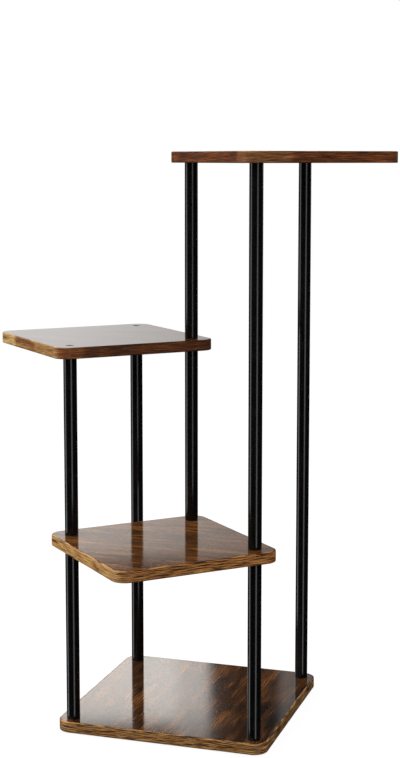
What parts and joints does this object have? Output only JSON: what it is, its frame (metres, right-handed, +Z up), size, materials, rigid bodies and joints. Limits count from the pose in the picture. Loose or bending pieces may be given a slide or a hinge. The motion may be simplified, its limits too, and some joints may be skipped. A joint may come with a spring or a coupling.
{
  "type": "plant rack",
  "caption": "Free-standing plant rack: a square base board and smaller square shelves turned diagonally that rise in a spiral between round steel posts.",
  "frame": {"origin": "on the floor, under the middle of the rack's bounding box; the middle of the base board is 67.5 mm behind it", "axes": "+Z up; the front, where the lower shelf's free corner stands out, faces -Y; the upper shelf's free corner points to -X and the top shelf's to +X"},
  "size_m": [0.5984, 0.4634, 0.828],
  "materials": {
    "rustic_laminate": "dark rustic brown wood print, semi-gloss",
    "edge_strip": "golden to dark brown wood print with its grain along the edge, satin",
    "black_tube": "black powder coat on steel tube, semi-gloss",
    "plated_steel": "zinc-plated steel, bright",
    "black_bolt": "black-finished steel, satin",
    "pad_rubber": "black rubber, matte"
  },
  "bodies": {
    "root": {"base_board": "rustic_laminate", "lower_shelf_board": "rustic_laminate", "upper_shelf_board": "rustic_laminate", "top_shelf_board": "rustic_laminate", "base_edge_band": "edge_strip", "lower_shelf_edge_band": "edge_strip", "upper_shelf_edge_band": "edge_strip", "top_shelf_edge_band": "edge_strip", "front_left_post_lower": "black_tube", "front_left_post_upper": "black_tube", "front_right_post_lower": "black_tube", "front_right_post_upper": "black_tube", "back_right_post_lower": "black_tube", "back_right_post_upper": "black_tube", "back_left_post": "black_tube", "centre_post_lower": "black_tube", "centre_post_upper": "black_tube", "front_left_post_inserts": "plated_steel", "front_right_post_inserts": "plated_steel", "back_right_post_inserts": "plated_steel", "back_left_post_inserts": "plated_steel", "centre_post_inserts": "plated_steel", "front_left_stud": "plated_steel", "front_right_stud": "plated_steel", "centre_stud": "plated_steel", "back_right_joining_stud": "plated_steel", "base_bolts": "black_bolt", "lower_shelf_bolt": "black_bolt", "upper_shelf_bolts": "black_bolt", "top_shelf_bolts": "black_bolt", "front_left_foot_pad": "pad_rubber", "front_right_foot_pad": "pad_rubber", "back_right_foot_pad": "pad_rubber", "back_left_foot_pad": "pad_rubber"}
  },
  "joints": []
}
